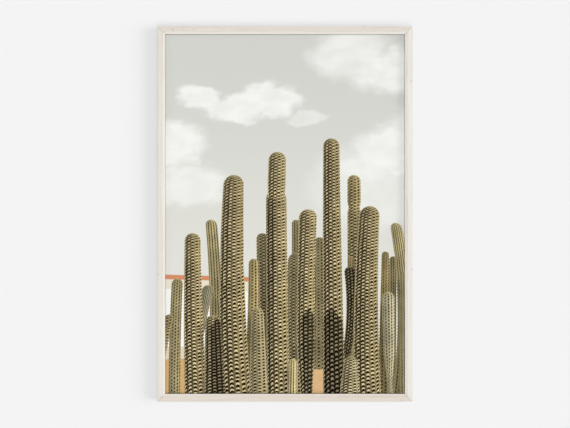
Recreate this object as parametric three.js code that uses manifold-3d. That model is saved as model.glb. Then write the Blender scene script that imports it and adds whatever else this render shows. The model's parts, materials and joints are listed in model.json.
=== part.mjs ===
// A framed art print that hangs on a wall: a slim mitred wooden frame with a limed finish, clear acrylic
// glazing, a 61 x 91 cm print on foam board, a hardboard back held by turn buttons, and a sawtooth hanger.
//
// Millimetres. +X is to the right, +Z is up, the front faces -Y, and the wall is the plane y = 0.
// The origin is the centre of the hanger's raised face, where the frame rests on the wall.
import * as THREE from "three";
import { mergeVertices } from "three/addons/utils/BufferGeometryUtils.js";
import Module from "manifold-3d";

// ---- Driving dimensions ----
const GAP = 0.3; // air between neighbouring pieces

const SIGHT_WIDTH = 600; // the picture that shows inside the rails
const SIGHT_HEIGHT = 900;
const FACE_WIDTH = 19; // a rail, from its outer side to the sight edge
const RAIL_DEPTH = 22; // a rail, from its back to its front
const WALL_STANDOFF = 4; // from the wall to the backs of the rails
const MITRE_GAP = 0.3; // square across a mitre

// Section of a rail
const FLAT_WIDTH = 13.4; // the flat front face
const QUIRK = 0.5; // the small step between the flat face and the inner slope
const SLOPE_FALL = 1.6; // how far the inner slope falls back
const REBATE_WIDTH = 6; // how far the lip covers the glazing
const ARRIS = 0.7; // the eased outer corners

// What lies in the rebate, from the front
const GLAZING_THICKNESS = 2;
const PRINT_THICKNESS = 0.3;
const FOAM_THICKNESS = 5;
const BACKING_THICKNESS = 3.2;
const GLAZING_PLAY = 0.5; // each side of the glazing and boards, in the rebate
const PRINT_PLAY = 1; // each side of the print

// Turn buttons and their screws
const BUTTON_THICKNESS = 1.2;
const BUTTON_END_RADIUS = 6;
const BUTTON_REACH = 12.5; // from the pivot to the centre of the far end's arc
const BUTTON_HOLE_RADIUS = 1.7;
const BUTTONS_ACROSS = 180; // from the middle of the top or bottom rail to each of its buttons
const BUTTONS_UP = 250; // from the middle of a side rail to each of its buttons
const SCREW_HEAD_RADIUS = 3.2;
const SCREW_HEAD_HEIGHT = 1.5;
const SCREW_SHANK_RADIUS = 1.3;
const SCREW_LENGTH = 12; // under its head
const SCREW_POINT = 2.5;

// Sawtooth hanger and its nails
const HANGER_LENGTH = 60;
const HANGER_WIDTH = 9;
const HANGER_THICKNESS = 1;
const HANGER_FOOT = 6; // each end that lies on the rail
const HANGER_CRANK = 4; // the length of each sloping part
const TOOTH_PITCH = 4;
const TOOTH_DEPTH = 1.8;
const TOOTH_COUNT = 8;
const NAIL_HEAD_RADIUS = 1.9;
const NAIL_HEAD_HEIGHT = 0.6;
const NAIL_SHANK_RADIUS = 0.8;
const NAIL_LENGTH = 11; // under its head

// V-nails in the mitres, and bumpers
const V_NAIL_LEG = 5;
const V_NAIL_THICKNESS = 0.6;
const V_NAIL_DEPTH = 10;
const V_NAIL_INSET = 4.5; // from the outer sides to the corner of the V
const BUMPER_RADIUS = 5;
const BUMPER_INSET = 29; // from the frame's side to a bumper's centre

// ---- Sizes that follow ----
const OUTER_WIDTH = SIGHT_WIDTH + 2 * FACE_WIDTH;
const OUTER_HEIGHT = SIGHT_HEIGHT + 2 * FACE_WIDTH;
const BACK_LAND = FACE_WIDTH - REBATE_WIDTH; // the flat back of a rail
const REBATE_DEPTH = GLAZING_THICKNESS + PRINT_THICKNESS + FOAM_THICKNESS + BACKING_THICKNESS + 4 * GAP;
const REBATE_SPAN_X = OUTER_WIDTH - 2 * BACK_LAND;
const REBATE_SPAN_Z = OUTER_HEIGHT - 2 * BACK_LAND;
const CENTRE_Z = (BACK_LAND - OUTER_HEIGHT) / 2; // puts the hanger in the middle of the top rail's back
const RAIL_BACK_Y = -WALL_STANDOFF;
const PIVOT_INSET = BACK_LAND / 2; // from a rail's outer side to its screws
const PLATE_BACK_Y = RAIL_BACK_Y + GAP + BUTTON_THICKNESS; // the back of a turn button
const HANGER_FOOT_Y = RAIL_BACK_Y + GAP + HANGER_THICKNESS; // the back of the hanger's feet
const NAIL_X = (HANGER_LENGTH - HANGER_FOOT) / 2;

// ---- Materials ----
const finish = (color, roughness, metalness = 0) =>
  new THREE.MeshStandardMaterial({ color, roughness, metalness });
const LIMED_WOOD = finish(0xe6dfd3, 0.6);
const ACRYLIC = finish(0xf2f5f4, 0.06);
const PRINT_PAPER = finish(0xb5b19c, 0.85);
const FOAM_BOARD = finish(0xf1f0ec, 0.8);
const HARDBOARD = finish(0x8a6240, 0.7);
const ZINC_PLATE = finish(0xb9bdc0, 0.35, 1);
const NAIL_STEEL = finish(0x9c9ea0, 0.4, 1);
const FELT = finish(0x6f6a63, 0.95);

// ---- Solids: joining and cutting ----
const wasm = await Module();
wasm.setup();

function solidOf(geometry) {
  const bare = geometry.clone();
  bare.deleteAttribute("normal");
  bare.deleteAttribute("uv");
  const merged = mergeVertices(bare, 1e-4);
  const vertProperties = merged.attributes.position.array;
  const triVerts = new Uint32Array(merged.index.array);
  return new wasm.Manifold(new wasm.Mesh({ numProp: 3, vertProperties, triVerts }));
}

function cut(geometry, tools) {
  const solid = tools.reduce((rest, tool) => rest.subtract(solidOf(tool)), solidOf(geometry));
  const { vertProperties, triVerts } = solid.getMesh();
  const result = new THREE.BufferGeometry();
  result.setAttribute("position", new THREE.BufferAttribute(vertProperties, 3));
  result.setIndex(new THREE.BufferAttribute(triVerts, 1));
  result.computeVertexNormals();
  return result;
}

// A flat plate in the XZ plane: its back lies on y = 0 and its thickness runs forward.
function plate(shape, thickness) {
  const geometry = new THREE.ExtrudeGeometry(shape, { depth: thickness, bevelEnabled: false, curveSegments: 12 });
  return geometry.rotateX(Math.PI / 2);
}

// A round hole along Y, from y = back to y = front, as a tool to cut with.
function drill(radius, x, z, back, front) {
  return new THREE.CylinderGeometry(radius, radius, back - front, 20).translate(x, (back + front) / 2, z);
}

// A fastener driven in from behind, turned about Y: a domed head over y = 0, a shank and a point.
function fastener(headRadius, headHeight, shankRadius, length, point) {
  const profile = [
    new THREE.Vector2(0, -length),
    new THREE.Vector2(shankRadius, point - length),
    new THREE.Vector2(shankRadius, 0),
  ];
  const steps = 5;
  for (let i = 0; i <= steps; i++) {
    const angle = (i / steps) * (Math.PI / 2);
    profile.push(new THREE.Vector2(headRadius * Math.cos(angle), headHeight * Math.sin(angle)));
  }
  profile[profile.length - 1].x = 0; // the crown closes exactly on the axis
  return new THREE.LatheGeometry(profile, 20);
}

// ---- Rails ----
// u runs inwards from the rail's outer side and t forwards from its back.
function railSection() {
  return new THREE.Shape([
    new THREE.Vector2(ARRIS, 0),
    new THREE.Vector2(BACK_LAND, 0),
    new THREE.Vector2(BACK_LAND, REBATE_DEPTH),
    new THREE.Vector2(FACE_WIDTH, REBATE_DEPTH),
    new THREE.Vector2(FACE_WIDTH, RAIL_DEPTH - SLOPE_FALL),
    new THREE.Vector2(FLAT_WIDTH + QUIRK, RAIL_DEPTH - QUIRK),
    new THREE.Vector2(FLAT_WIDTH, RAIL_DEPTH),
    new THREE.Vector2(ARRIS, RAIL_DEPTH),
    new THREE.Vector2(0, RAIL_DEPTH - ARRIS),
    new THREE.Vector2(0, ARRIS),
  ]);
}

// The L outline of a V-nail, seen from behind, with its corner at (x, z); side mirrors it in X.
function vNailOutline(x, z, side, leg, thickness) {
  const corners = [
    [0, 0],
    [leg, 0],
    [leg, thickness],
    [thickness, thickness],
    [thickness, leg],
    [0, leg],
  ];
  return new THREE.Shape(corners.map(([a, b]) => new THREE.Vector2(x + side * a, z + b)));
}

// A rail along X with its outer side on z = 0 and its back on y = 0, mitred at both ends,
// with pilot holes at pilots: [distance along X, radius, depth].
function railGeometry(length, pilots) {
  const rail = new THREE.ExtrudeGeometry(railSection(), { depth: 1, bevelEnabled: false });
  const place = rail.attributes.position;
  const mitreBack = (MITRE_GAP / 2) * Math.SQRT2;
  for (let i = 0; i < place.count; i++) {
    const end = place.getZ(i) > 0.5 ? 1 : -1;
    place.setZ(i, end * (length / 2 - place.getX(i) - mitreBack));
  }
  rail.applyMatrix4(
    new THREE.Matrix4().makeBasis(
      new THREE.Vector3(0, 0, 1),
      new THREE.Vector3(0, -1, 0),
      new THREE.Vector3(1, 0, 0),
    ),
  );
  const holes = pilots.map(([x, radius, depth]) => drill(radius, x, PIVOT_INSET, 1, -depth));
  const slots = [-1, 1].map((end) => {
    const inset = V_NAIL_INSET - GAP;
    const outline = vNailOutline(
      end * (length / 2 - inset),
      inset,
      -end,
      V_NAIL_LEG + 2 * GAP,
      V_NAIL_THICKNESS + 2 * GAP,
    );
    return plate(outline, V_NAIL_DEPTH + 1 + 2 * GAP).translate(0, 1, 0);
  });
  return cut(rail, [...holes, ...slots]);
}

// ---- Turn button, hanger ----
function buttonGeometry() {
  const outline = new THREE.Shape();
  outline.absarc(0, 0, BUTTON_END_RADIUS, Math.PI, 2 * Math.PI);
  outline.absarc(0, BUTTON_REACH, BUTTON_END_RADIUS, 0, Math.PI);
  outline.closePath();
  outline.holes.push(new THREE.Path().absarc(0, 0, BUTTON_HOLE_RADIUS, 0, 2 * Math.PI, true));
  return plate(outline, BUTTON_THICKNESS);
}

function hangerGeometry() {
  const half = HANGER_LENGTH / 2;
  const knee = half - HANGER_FOOT;
  const crest = knee - HANGER_CRANK;
  const line = [
    [-half, HANGER_FOOT_Y],
    [-knee, HANGER_FOOT_Y],
    [-crest, 0],
    [crest, 0],
    [knee, HANGER_FOOT_Y],
    [half, HANGER_FOOT_Y],
  ];
  const back = line.map(([x, y]) => new THREE.Vector2(x, y));
  const front = line.map(([x, y]) => new THREE.Vector2(x, y - HANGER_THICKNESS)).reverse();
  const strip = new THREE.ExtrudeGeometry(new THREE.Shape([...back, ...front]), {
    depth: HANGER_WIDTH,
    bevelEnabled: false,
  }).translate(0, 0, -HANGER_WIDTH / 2);

  const edge = -HANGER_WIDTH / 2;
  const start = (-TOOTH_PITCH * TOOTH_COUNT) / 2;
  const teeth = [new THREE.Vector2(start, edge - 1), new THREE.Vector2(start, edge)];
  for (let i = 0; i < TOOTH_COUNT; i++) {
    teeth.push(new THREE.Vector2(start + (i + 0.5) * TOOTH_PITCH, edge + TOOTH_DEPTH));
    teeth.push(new THREE.Vector2(start + (i + 1) * TOOTH_PITCH, edge));
  }
  teeth.push(new THREE.Vector2(-start, edge - 1));
  const toothCutter = plate(new THREE.Shape(teeth), HANGER_THICKNESS + 1).translate(0, 0.5, 0);
  const nailHoles = [-NAIL_X, NAIL_X].map((x) => drill(NAIL_SHANK_RADIUS + GAP, x, 0, 1, -WALL_STANDOFF));
  return cut(strip, [toothCutter, ...nailHoles]);
}

// ---- Assembly ----
const group = new THREE.Group();

function add(parent, name, geometry, material, x = 0, y = 0, z = 0) {
  const mesh = new THREE.Mesh(geometry, material);
  mesh.name = name;
  mesh.position.set(x, y, z);
  parent.add(mesh);
}

const screwPilot = SCREW_SHANK_RADIUS + GAP;
const screwPilotDepth = SCREW_LENGTH - (PLATE_BACK_Y - RAIL_BACK_Y) + 1;
const nailPilot = NAIL_SHANK_RADIUS + GAP;
const nailPilotDepth = NAIL_LENGTH - (HANGER_FOOT_Y - RAIL_BACK_Y) + 1;
const screw = fastener(SCREW_HEAD_RADIUS, SCREW_HEAD_HEIGHT, SCREW_SHANK_RADIUS, SCREW_LENGTH, SCREW_POINT);
const nail = fastener(NAIL_HEAD_RADIUS, NAIL_HEAD_HEIGHT, NAIL_SHANK_RADIUS, NAIL_LENGTH, 2);
const button = buttonGeometry();
const bumper = new THREE.CylinderGeometry(BUMPER_RADIUS, BUMPER_RADIUS, WALL_STANDOFF - GAP, 24);
const vNail = plate(vNailOutline(0, 0, 1, V_NAIL_LEG, V_NAIL_THICKNESS), V_NAIL_DEPTH);

// Each side of the frame is a group turned about Y, in which its rail lies along X at the bottom.
const sides = [
  { side: "bottom", turn: 0, length: OUTER_WIDTH, reach: OUTER_HEIGHT / 2, buttons: BUTTONS_ACROSS },
  { side: "left", turn: Math.PI / 2, length: OUTER_HEIGHT, reach: OUTER_WIDTH / 2, buttons: BUTTONS_UP },
  { side: "top", turn: Math.PI, length: OUTER_WIDTH, reach: OUTER_HEIGHT / 2, buttons: BUTTONS_ACROSS },
  { side: "right", turn: -Math.PI / 2, length: OUTER_HEIGHT, reach: OUTER_WIDTH / 2, buttons: BUTTONS_UP },
];

for (const { side, turn, length, reach, buttons } of sides) {
  const frameSide = new THREE.Group();
  frameSide.position.z = CENTRE_Z;
  frameSide.rotation.y = turn;
  group.add(frameSide);

  const pilots = [-buttons, buttons].map((x) => [x, screwPilot, screwPilotDepth]);
  if (side === "top") pilots.push(...[-NAIL_X, NAIL_X].map((x) => [x, nailPilot, nailPilotDepth]));
  add(frameSide, "rail_" + side, railGeometry(length, pilots), LIMED_WOOD, 0, RAIL_BACK_Y, -reach);
  add(
    frameSide,
    "v_nail_" + side,
    vNail,
    NAIL_STEEL,
    V_NAIL_INSET - length / 2,
    RAIL_BACK_Y - GAP,
    V_NAIL_INSET - reach,
  );
  [-buttons, buttons].forEach((x, i) => {
    const z = PIVOT_INSET - reach;
    add(frameSide, `turn_button_${side}_${i + 1}`, button, ZINC_PLATE, x, PLATE_BACK_Y, z);
    add(frameSide, `button_screw_${side}_${i + 1}`, screw, ZINC_PLATE, x, PLATE_BACK_Y + GAP, z);
  });
  if (side === "top" || side === "bottom") {
    [-1, 1].forEach((end, i) => {
      const x = end * (length / 2 - BUMPER_INSET);
      const y = (GAP - WALL_STANDOFF) / 2;
      add(frameSide, `bumper_${side}_${i + 1}`, bumper, FELT, x, y, PIVOT_INSET - reach);
    });
  }
}

// The glazing, print and boards, laid in the rebate from the front to the back.
const layers = [
  { name: "glazing", thickness: GLAZING_THICKNESS, play: GLAZING_PLAY, material: ACRYLIC },
  { name: "print", thickness: PRINT_THICKNESS, play: PRINT_PLAY, material: PRINT_PAPER },
  { name: "foam_board", thickness: FOAM_THICKNESS, play: GLAZING_PLAY, material: FOAM_BOARD },
  { name: "backing_board", thickness: BACKING_THICKNESS, play: GLAZING_PLAY, material: HARDBOARD },
];
let front = RAIL_BACK_Y - REBATE_DEPTH;
for (const { name, thickness, play, material } of layers) {
  front += GAP;
  const sheet = new THREE.BoxGeometry(REBATE_SPAN_X - 2 * play, thickness, REBATE_SPAN_Z - 2 * play);
  add(group, name, sheet, material, 0, front + thickness / 2, CENTRE_Z);
  front += thickness;
}

add(group, "sawtooth_hanger", hangerGeometry(), ZINC_PLATE);
[-NAIL_X, NAIL_X].forEach((x, i) => {
  add(group, `hanger_nail_${i + 1}`, nail, NAIL_STEEL, x, HANGER_FOOT_Y + GAP, 0);
});

export default group;
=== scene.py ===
"""A framed art print for the wall, dressed round its packed design.

The rails, glazing, print, boards and fittings are built as classes, one for each sub-assembly. The picture
on the print is drawn by shader nodes from a short list of columnar cacti in picture millimetres.
Everything is in metres in the row's frame: +X right, +Z up, the picture faces -Y, the wall is y = 0.
"""
import json
import logging
import math
from dataclasses import dataclass, field
from enum import Enum
from typing import Callable, Iterable, Sequence

import bmesh
import bpy
from mathutils import Matrix, Vector, noise


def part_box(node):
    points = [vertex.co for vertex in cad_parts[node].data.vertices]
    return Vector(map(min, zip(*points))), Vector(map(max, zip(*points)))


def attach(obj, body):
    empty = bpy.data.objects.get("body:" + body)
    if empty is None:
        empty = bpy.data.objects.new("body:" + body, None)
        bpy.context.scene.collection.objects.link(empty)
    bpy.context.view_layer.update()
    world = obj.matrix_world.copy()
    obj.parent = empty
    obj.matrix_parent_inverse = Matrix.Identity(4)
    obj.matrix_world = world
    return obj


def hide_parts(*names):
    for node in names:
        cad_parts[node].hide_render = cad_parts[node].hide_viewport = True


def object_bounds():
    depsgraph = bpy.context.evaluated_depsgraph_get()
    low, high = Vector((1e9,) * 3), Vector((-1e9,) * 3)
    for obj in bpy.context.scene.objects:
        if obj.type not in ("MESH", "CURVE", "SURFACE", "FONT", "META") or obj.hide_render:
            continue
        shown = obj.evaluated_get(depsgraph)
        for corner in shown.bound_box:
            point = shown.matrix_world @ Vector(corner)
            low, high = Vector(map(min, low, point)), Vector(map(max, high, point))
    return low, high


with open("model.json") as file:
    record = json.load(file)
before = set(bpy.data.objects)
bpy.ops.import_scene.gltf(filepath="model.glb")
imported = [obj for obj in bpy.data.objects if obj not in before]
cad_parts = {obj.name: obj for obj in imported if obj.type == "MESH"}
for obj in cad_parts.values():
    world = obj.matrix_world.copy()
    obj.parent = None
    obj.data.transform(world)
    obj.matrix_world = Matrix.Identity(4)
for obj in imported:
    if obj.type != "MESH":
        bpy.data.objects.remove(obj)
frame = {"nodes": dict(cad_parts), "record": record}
CAD_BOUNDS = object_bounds()

LOG = logging.getLogger("framed_print")
MM = 0.001
FRAME_BODY = "frame"

Colour = tuple[float, float, float, float]
Point2 = tuple[float, float]


def ink(red: float, green: float, blue: float) -> Colour:
    """The linear colour, with full alpha, of three shares given as they are seen, from 0 to 255."""

    def linear(share: float) -> float:
        """One channel, from its coded value to linear light."""
        coded = share / 255
        return coded / 12.92 if coded <= 0.04045 else ((coded + 0.055) / 1.055) ** 2.4

    return (linear(red), linear(green), linear(blue), 1.0)


# --- Shader nodes written as arithmetic ---
class Kind(Enum):
    """What a socket of a node group carries."""

    VALUE = "NodeSocketFloat"
    PLACE = "NodeSocketVector"
    COLOUR = "NodeSocketColor"


@dataclass(frozen=True)
class Term:
    """The output of a node, which arithmetic can be written with."""

    kit: "NodeKit"
    socket: bpy.types.NodeSocket

    def __add__(self, other: "Feed") -> "Term":
        """self + other."""
        return self.kit.math("ADD", self, other)

    def __sub__(self, other: "Feed") -> "Term":
        """self - other."""
        return self.kit.math("SUBTRACT", self, other)

    def __rsub__(self, other: "Feed") -> "Term":
        """other - self."""
        return self.kit.math("SUBTRACT", other, self)

    def __mul__(self, other: "Feed") -> "Term":
        """self * other."""
        return self.kit.math("MULTIPLY", self, other)

    def __truediv__(self, other: "Feed") -> "Term":
        """self / other."""
        return self.kit.math("DIVIDE", self, other)

    def __lt__(self, other: "Feed") -> "Term":
        """1 where self is below other, else 0."""
        return self.kit.math("LESS_THAN", self, other)

    def __gt__(self, other: "Feed") -> "Term":
        """1 where self is above other, else 0."""
        return self.kit.math("GREATER_THAN", self, other)

    def __abs__(self) -> "Term":
        """The size of self without its sign."""
        return self.kit.math("ABSOLUTE", self)

    __radd__ = __add__
    __rmul__ = __mul__


Feed = Term | float | tuple[float, ...]


class NodeKit:
    """Builds the nodes of one shader tree with short calls."""

    def __init__(self, tree: bpy.types.NodeTree) -> None:
        """Takes the tree that the nodes go into."""
        self.tree = tree

    def node(self, kind: str, **settings: object) -> bpy.types.Node:
        """Adds a node of a kind, named without its leading ShaderNode, with the properties given."""
        made = self.tree.nodes.new("ShaderNode" + kind)
        for name, value in settings.items():
            setattr(made, name, value)
        return made

    def feed(self, socket: bpy.types.NodeSocket, value: Feed) -> None:
        """Links a term to an input, or sets the input's own value."""
        if isinstance(value, Term):
            self.tree.links.new(value.socket, socket)
        else:
            socket.default_value = value

    def fill(self, node: bpy.types.Node, feeds: dict[str, Feed]) -> None:
        """Feeds several named inputs of a node."""
        for name, value in feeds.items():
            self.feed(node.inputs[name], value)

    def out(self, node: bpy.types.Node, output: str | int = 0) -> Term:
        """One output of a node as a term."""
        return Term(self, node.outputs[output])

    def math(self, operation: str, *operands: Feed) -> Term:
        """The result of a Math node on one to three numbers."""
        made = self.node("Math", operation=operation)
        for socket, operand in zip(made.inputs, operands):
            self.feed(socket, operand)
        return self.out(made)

    def vector_math(self, operation: str, *operands: Feed) -> Term:
        """The vector result of a Vector Math node."""
        made = self.node("VectorMath", operation=operation)
        for socket, operand in zip(made.inputs, operands):
            self.feed(socket, operand)
        return self.out(made)

    def smooth(self, value: Feed, low: Feed, high: Feed, start: Feed = 0.0, end: Feed = 1.0) -> Term:
        """An eased step of value from low to high, which goes from start to end."""
        made = self.node("MapRange", interpolation_type="SMOOTHSTEP")
        limits = {"From Min": low, "From Max": high, "To Min": start, "To Max": end}
        self.fill(made, {"Value": value, **limits})
        return self.out(made)

    def mix(self, factor: Feed, first: Feed, second: Feed, blend: str = "MIX") -> Term:
        """Two colours mixed by a factor."""
        made = self.node("Mix", data_type="RGBA", blend_type=blend)
        for index, operand in ((0, factor), (6, first), (7, second)):
            self.feed(made.inputs[index], operand)
        return self.out(made, 2)

    def mix_places(self, factor: Feed, first: Feed, second: Feed) -> Term:
        """Two vectors mixed by a factor."""
        made = self.node("Mix", data_type="VECTOR")
        for index, operand in ((0, factor), (4, first), (5, second)):
            self.feed(made.inputs[index], operand)
        return self.out(made, 1)

    def split(self, place: Feed) -> tuple[Term, Term, Term]:
        """The three numbers of a vector."""
        made = self.node("SeparateXYZ")
        self.feed(made.inputs[0], place)
        return self.out(made, 0), self.out(made, 1), self.out(made, 2)

    def join(self, x: Feed, y: Feed, z: Feed = 0.0) -> Term:
        """A vector of three numbers."""
        made = self.node("CombineXYZ")
        for socket, operand in zip(made.inputs, (x, y, z)):
            self.feed(socket, operand)
        return self.out(made)

    def noise(
        self, place: Feed, scale: float, detail: float = 2.0, rough: float = 0.5, output: str = "Fac"
    ) -> Term:
        """Fractal noise at a place: a number from 0 to 1, or with output Color three of them."""
        made = self.node("TexNoise", noise_dimensions="3D")
        self.fill(made, {"Vector": place, "Scale": scale, "Detail": detail, "Roughness": rough})
        return self.out(made, output)

    def stretched(self, place: Feed, by: tuple[float, float, float]) -> Term:
        """A place with each of its axes scaled, by a Mapping node."""
        made = self.node("Mapping", vector_type="POINT")
        self.fill(made, {"Vector": place, "Scale": by})
        return self.out(made)

    def long_noise(
        self, place: Feed, by: tuple[float, float, float], detail: float, rough: float = 0.5
    ) -> Term:
        """Fractal noise from 0 to 1 that has its own scale along each axis."""
        return self.noise(self.stretched(place, by), 1.0, detail, rough)

    def scaled(self, place: Feed, by: Feed) -> Term:
        """A colour, or any vector, times one number."""
        return self.vector_math("MULTIPLY", place, self.join(by, by, by))

    def attribute(self, name: str) -> Term:
        """A number stored on the mesh's points."""
        return self.out(self.node("Attribute", attribute_name=name), "Fac")

    def object_place(self) -> Term:
        """The place on the piece, in metres."""
        return self.out(self.node("TexCoord"), "Object")

    def group(self, tree: bpy.types.NodeTree, feeds: dict[str, Feed]) -> dict[str, Term]:
        """Places a node group, feeds its named inputs and returns its named outputs as terms."""
        made = self.node("Group", node_tree=tree)
        made.name = made.label = tree.name
        self.fill(made, feeds)
        return {socket.name: Term(self, socket) for socket in made.outputs}

    def bump(self, height: Feed, distance: float, strength: float = 1.0) -> Term:
        """A surface normal tilted by a height."""
        made = self.node("Bump")
        self.fill(made, {"Strength": strength, "Distance": distance, "Height": height})
        return self.out(made)


class ShaderGroup:
    """A shader node group with named inputs and outputs, made once and placed in many materials."""

    def __init__(self, name: str, inputs: dict[str, Feed], outputs: dict[str, Kind]) -> None:
        """Makes the group's tree and its sockets.

        Args:
            name: the group's name.
            inputs: each input's name and its usual value, which also gives its kind.
            outputs: each output's name and kind.
        """
        self.tree = bpy.data.node_groups.new(name, "ShaderNodeTree")
        kinds = {3: Kind.PLACE, 4: Kind.COLOUR}
        for label, usual in inputs.items():
            kind = kinds[len(usual)] if isinstance(usual, tuple) else Kind.VALUE
            made = self.tree.interface.new_socket(label, in_out="INPUT", socket_type=kind.value)
            made.default_value = usual
        for label, kind in outputs.items():
            self.tree.interface.new_socket(label, in_out="OUTPUT", socket_type=kind.value)
        self.kit = NodeKit(self.tree)
        source = self.tree.nodes.new("NodeGroupInput")
        self.inputs = {socket.name: Term(self.kit, socket) for socket in source.outputs if socket.name}

    def finish(self, results: dict[str, Feed]) -> bpy.types.NodeTree:
        """Feeds the group's outputs and returns its tree."""
        sink = self.tree.nodes.new("NodeGroupOutput")
        self.kit.fill(sink, results)
        return self.tree


def new_material(name: str) -> tuple[bpy.types.Material, NodeKit, bpy.types.Node]:
    """Starts a node material: returns it, a kit for its nodes, and its Principled BSDF."""
    material = bpy.data.materials.new(name)
    material.use_nodes = True
    kit = NodeKit(material.node_tree)
    return material, kit, material.node_tree.nodes["Principled BSDF"]


# --- Surface effects that several finishes share ---
def grain_group() -> bpy.types.NodeTree:
    """Straight wood grain along the place's X axis: long streaks, fine pores and broad changes of tone."""
    group = ShaderGroup(
        "Straight grain",
        {"Place": (0.0, 0.0, 0.0), "Seed": 0.0},
        {"Streaks": Kind.VALUE, "Pores": Kind.VALUE, "Tone": Kind.VALUE},
    )
    kit = group.kit
    shift = kit.join(group.inputs["Seed"] * 1.7, group.inputs["Seed"] * 0.31, group.inputs["Seed"] * 0.57)
    place = kit.vector_math("ADD", group.inputs["Place"], shift)
    wander = kit.long_noise(place, (3.0, 14.0, 14.0), 1.0)
    bent = kit.vector_math("ADD", place, kit.join(0.0, wander * 0.006, wander * 0.006))
    streaks = kit.long_noise(bent, (9.0, 520.0, 520.0), 3.0, 0.62)
    pores = kit.long_noise(bent, (60.0, 1700.0, 1700.0), 1.0)
    tone = kit.long_noise(place, (2.6, 30.0, 30.0), 2.0)
    return group.finish(
        {
            "Streaks": kit.smooth(streaks, 0.36, 0.68),
            "Pores": kit.smooth(pores, 0.62, 0.74),
            "Tone": tone,
        }
    )


def fibre_group() -> bpy.types.NodeTree:
    """Pressed fibres and specks, for boards, paper and felt, at a fineness given in marks per metre."""
    group = ShaderGroup(
        "Pressed fibres",
        {"Place": (0.0, 0.0, 0.0), "Fineness": 400.0},
        {"Fibres": Kind.VALUE, "Specks": Kind.VALUE, "Mottle": Kind.VALUE},
    )
    kit = group.kit
    place = kit.scaled(group.inputs["Place"], group.inputs["Fineness"])
    warp = kit.noise(kit.stretched(place, (0.35, 0.35, 0.35)), 5.0, output="Color")
    warped = kit.vector_math("ADD", place, warp)
    one_way = kit.long_noise(warped, (0.25, 1.0, 1.6), 2.0)
    other_way = kit.long_noise(warped, (1.6, 1.0, 0.25), 2.0)
    specks = kit.noise(place, 0.6, 1.0)
    mottle = kit.long_noise(place, (0.02, 0.02, 0.02), 3.0)
    return group.finish(
        {
            "Fibres": kit.math("MAXIMUM", one_way, other_way),
            "Specks": kit.smooth(specks, 0.66, 0.74),
            "Mottle": mottle,
        }
    )


def handling_group() -> bpy.types.NodeTree:
    """Fine scratches and smudges on plated metal."""
    group = ShaderGroup(
        "Handling marks", {"Place": (0.0, 0.0, 0.0)}, {"Scratches": Kind.VALUE, "Smudges": Kind.VALUE}
    )
    kit = group.kit
    place = group.inputs["Place"]
    lines = kit.long_noise(place, (260.0, 900.0, 5200.0), 2.0)
    cross = kit.long_noise(place, (5600.0, 900.0, 300.0), 2.0)
    smudges = kit.long_noise(place, (240.0, 240.0, 240.0), 3.0)
    return group.finish(
        {
            "Scratches": kit.smooth(kit.math("MAXIMUM", lines, cross), 0.56, 0.72),
            "Smudges": kit.smooth(smudges, 0.35, 0.7),
        }
    )


@dataclass(frozen=True)
class SurfaceEffects:
    """The shared effect groups, made once for the whole object."""

    grain: bpy.types.NodeTree = field(default_factory=grain_group)
    fibres: bpy.types.NodeTree = field(default_factory=fibre_group)
    handling: bpy.types.NodeTree = field(default_factory=handling_group)


# --- Finishes ---
class Run(Enum):
    """The way that a rail and its grain run, as the turn that lays the rail along X."""

    ACROSS = 0.0
    UPRIGHT = math.pi / 2


@dataclass(frozen=True)
class LimedWood:
    """Pale limed wood: white lime in the grain, bare wood where the arris is rubbed and on the back, and a
    painted highlight on the inner slope.
    """

    name: str
    run: Run
    lime: Colour
    wood: Colour
    seed: float
    bare: Colour = ink(196, 170, 138)
    raw_back: Colour = ink(203, 176, 140)
    slope_highlight: Colour = ink(240, 236, 228)
    knock: Colour = ink(120, 98, 78)
    grain_depth: float = 0.12 * MM

    def material(self, effects: SurfaceEffects) -> bpy.types.Material:
        """Builds the finish from Object coordinates and the mesh's Wear, Knock, Back and Slope numbers."""
        material, kit, shader = new_material(self.name)
        turned = kit.node("Mapping", vector_type="POINT")
        turned.inputs["Rotation"].default_value = (0.0, self.run.value, 0.0)
        kit.feed(turned.inputs["Vector"], kit.object_place())
        grain = kit.group(effects.grain, {"Place": kit.out(turned), "Seed": self.seed})
        toned = kit.mix(kit.smooth(grain["Tone"], 0.3, 0.7) * 0.35, self.lime, self.wood)
        streaked = kit.mix(grain["Streaks"] * 0.55, toned, self.wood)
        pored = kit.mix(grain["Pores"] * 0.35, streaked, self.bare)
        back = kit.attribute("Back")
        backed = kit.mix(back * 0.8, pored, kit.mix(grain["Streaks"], self.raw_back, self.bare))
        wear = kit.attribute("Wear") * kit.smooth(grain["Tone"], 0.42, 0.62)
        # Painted highlight: the inner slope is painted lighter, standing in for the light that it catches.
        limed = kit.mix(kit.attribute("Slope") * 0.5, backed, self.slope_highlight)
        rubbed = kit.mix(wear * 0.45, limed, self.bare)
        relief = grain["Streaks"] * -0.7 - grain["Pores"] * 0.5
        kit.fill(shader, {
            "Base Color": kit.mix(kit.attribute("Knock"), rubbed, self.knock),
            "Roughness": kit.smooth(grain["Streaks"], 0.0, 1.0, 0.56, 0.7) + back * 0.1,
            "Specular IOR Level": 0.3,
            "Normal": kit.bump(relief, self.grain_depth, 0.5),
        })
        return material


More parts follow.
